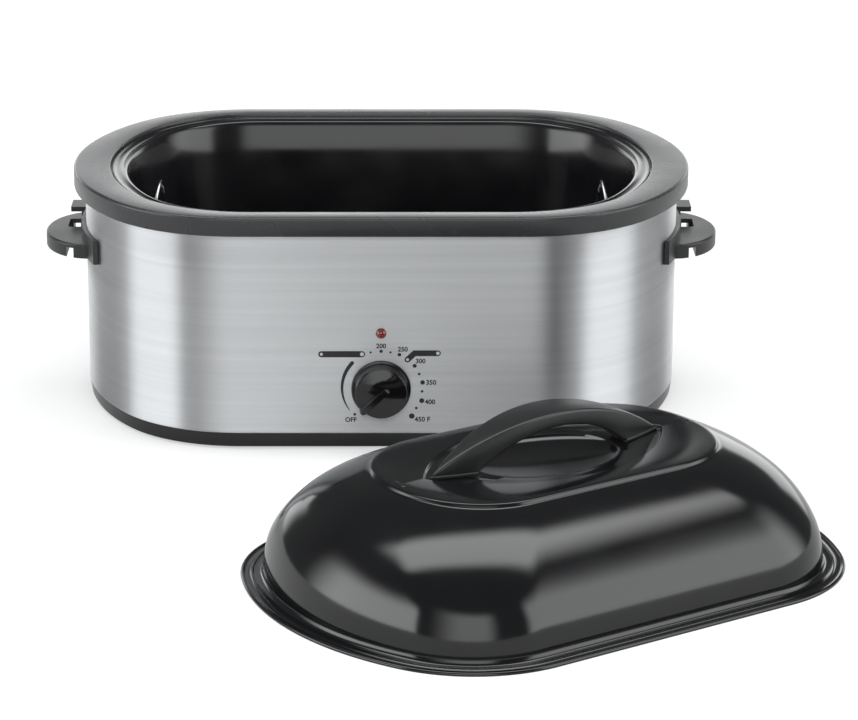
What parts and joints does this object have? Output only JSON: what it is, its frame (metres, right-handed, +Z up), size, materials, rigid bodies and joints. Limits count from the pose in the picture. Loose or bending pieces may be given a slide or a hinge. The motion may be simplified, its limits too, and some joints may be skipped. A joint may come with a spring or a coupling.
{
  "type": "electric roaster oven",
  "caption": "Oval countertop roaster oven: steel body with a dial, removable pan and wire rack, and a domed black lid lying in front.",
  "frame": {"origin": "centre of the roaster's footprint, on the counter it stands on", "axes": "+Z up, -Y towards the person who faces the knob, +X to that person's right; the lid lies in front, towards -Y"},
  "size_m": [0.6755, 0.8967, 0.212],
  "materials": {
    "black_collar": "satin black moulding",
    "brushed_wrap": "horizontally brushed stainless sheet",
    "black_base": "black moulding",
    "foot_rubber": "matt black",
    "bright_fastener": "bright zinc",
    "shield_sheet": "bright sheet",
    "enamel": "dark porcelain enamel",
    "heater_mica": "mica tape over resistance ribbon",
    "terminal_ceramic": "white steatite",
    "blanket_wool": "glass wool blanket",
    "inner_plastic": "phenolic moulding",
    "copper_tube": "copper",
    "red_lens": "clear red jewel",
    "lamp_glass": "neon lamp",
    "lead_insulation": "heat-proof sleeve",
    "handle_black": "satin black phenolic",
    "knob_black": "gloss black",
    "pan_enamel": "gloss black enamel",
    "chrome_wire": "chrome-plated wire",
    "lid_gloss": "gloss black enamel"
  },
  "bodies": {
    "roaster": {"top_collar": "black_collar", "outer_wrap": "brushed_wrap", "seam_plate": "brushed_wrap", "seam_rivets": "bright_fastener", "base_tray": "black_base", "feet": "foot_rubber", "base_screws": "bright_fastener", "well_spacers": "bright_fastener", "heat_shield": "shield_sheet", "heating_well": "enamel", "heater_band": "heater_mica", "heater_terminals": "terminal_ceramic", "insulation_blanket": "blanket_wool", "thermostat_body": "inner_plastic", "thermostat_bracket": "shield_sheet", "thermostat_nut": "bright_fastener", "sensing_bulb": "copper_tube", "bulb_clip": "shield_sheet", "indicator_lens": "red_lens", "indicator_holder": "inner_plastic", "indicator_lamp": "lamp_glass", "terminal_block": "terminal_ceramic", "cord_gland": "black_base", "gland_nut": "inner_plastic", "supply_lead": "lead_insulation", "heater_leads": "lead_insulation", "side_handle_left": "handle_black", "side_handle_right": "handle_black", "handle_backing_left": "shield_sheet", "handle_backing_right": "shield_sheet", "handle_screws": "bright_fastener"},
    "knob": {"temperature_knob": "knob_black", "thermostat_shaft": "bright_fastener"},
    "pan": {"roasting_pan": "pan_enamel"},
    "rack": {"roasting_rack": "chrome_wire", "rack_loops": "chrome_wire"},
    "lid": {"lid_shell": "lid_gloss", "lid_handle": "handle_black", "lid_handle_screws": "bright_fastener", "lid_handle_washers": "bright_fastener"}
  },
  "joints": [
    {"name": "knob_turn", "type": "hinge", "parent": "roaster", "child": "knob", "pos_m": [0, -0.19, 0.056], "axis": [0, 1, 0], "range_deg": [0, 265]},
    {"name": "pan_lift", "type": "slide", "parent": "roaster", "child": "pan", "axis": [0, 0, 1], "range_m": [0, 0.2]},
    {"name": "rack_lift", "type": "slide", "parent": "pan", "child": "rack", "axis": [0, 0, 1], "range_m": [0, 0.2]},
    {"name": "lid_lift", "type": "slide", "parent": "roaster", "child": "lid", "axis": [0, 0, 1], "range_m": [0, 0.25]}
  ]
}
